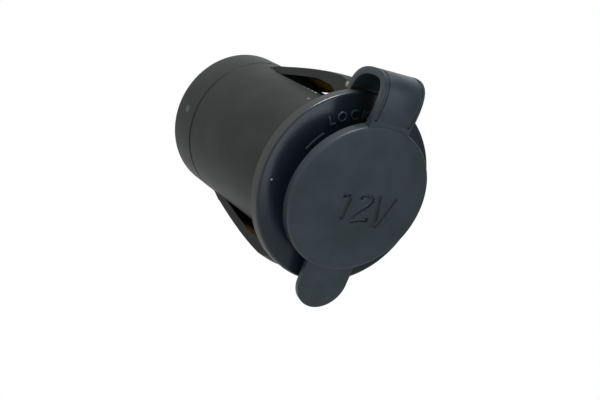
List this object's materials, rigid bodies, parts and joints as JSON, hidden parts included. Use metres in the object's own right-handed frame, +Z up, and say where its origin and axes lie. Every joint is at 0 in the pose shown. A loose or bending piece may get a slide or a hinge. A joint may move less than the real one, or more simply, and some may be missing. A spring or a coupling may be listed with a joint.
{
  "type": "12 volt power socket",
  "caption": "Panel-mounted 12 volt power socket with snap arms, rear blade terminals and a soft sealing cap on a strap.",
  "frame": {"origin": "on the socket axis, in the plane of the flange's rear face", "axes": "+X to the right seen from the front, +Y along the socket axis into the panel (the mouth looks to -Y), +Z up through the upper snap arm"},
  "size_m": [0.0425, 0.0684, 0.0535],
  "materials": {
    "housing_plastic": "matte with a slight sheen",
    "cap_rubber": "satin",
    "seal_rubber": "matte",
    "shell_brass": "satin",
    "contact_brass": "polished",
    "blade_tin": "tinned",
    "fastener_steel": "zinc plated",
    "insulator_board": "matte"
  },
  "bodies": {
    "socket": {"housing": "housing_plastic", "contact_shell": "shell_brass", "ground_rivet": "contact_brass", "ground_terminal": "blade_tin", "centre_contact": "contact_brass", "inner_insulator": "insulator_board", "outer_insulator": "insulator_board", "power_terminal": "blade_tin", "flat_washer": "fastener_steel", "lock_washer": "fastener_steel", "hex_nut": "fastener_steel", "rear_cover": "housing_plastic", "rear_seal": "seal_rubber", "sealing_ring": "cap_rubber", "cap_strap": "cap_rubber"},
    "upper_arm": {"snap_arm_upper": "housing_plastic"},
    "lower_arm": {"snap_arm_lower": "housing_plastic"},
    "sealing_cap": {"cap": "cap_rubber"}
  },
  "joints": [
    {"name": "upper_arm_flex", "type": "hinge", "parent": "socket", "child": "upper_arm", "pos_m": [0, 0.0315, 0.0164], "axis": [1, 0, 0], "range_deg": [0, 10], "stiffness_Nm_per_rad": 1.5},
    {"name": "lower_arm_flex", "type": "hinge", "parent": "socket", "child": "lower_arm", "pos_m": [0, 0.0315, -0.0164], "axis": [-1, 0, 0], "range_deg": [0, 10], "stiffness_Nm_per_rad": 1.5},
    {"name": "cap_hinge", "type": "hinge", "parent": "socket", "child": "sealing_cap", "pos_m": [-0.00355, -0.0056, 0.02374], "axis": [-0.989, 0, -0.1478], "range_deg": [0, 150], "deforming": ["cap_strap"]}
  ]
}
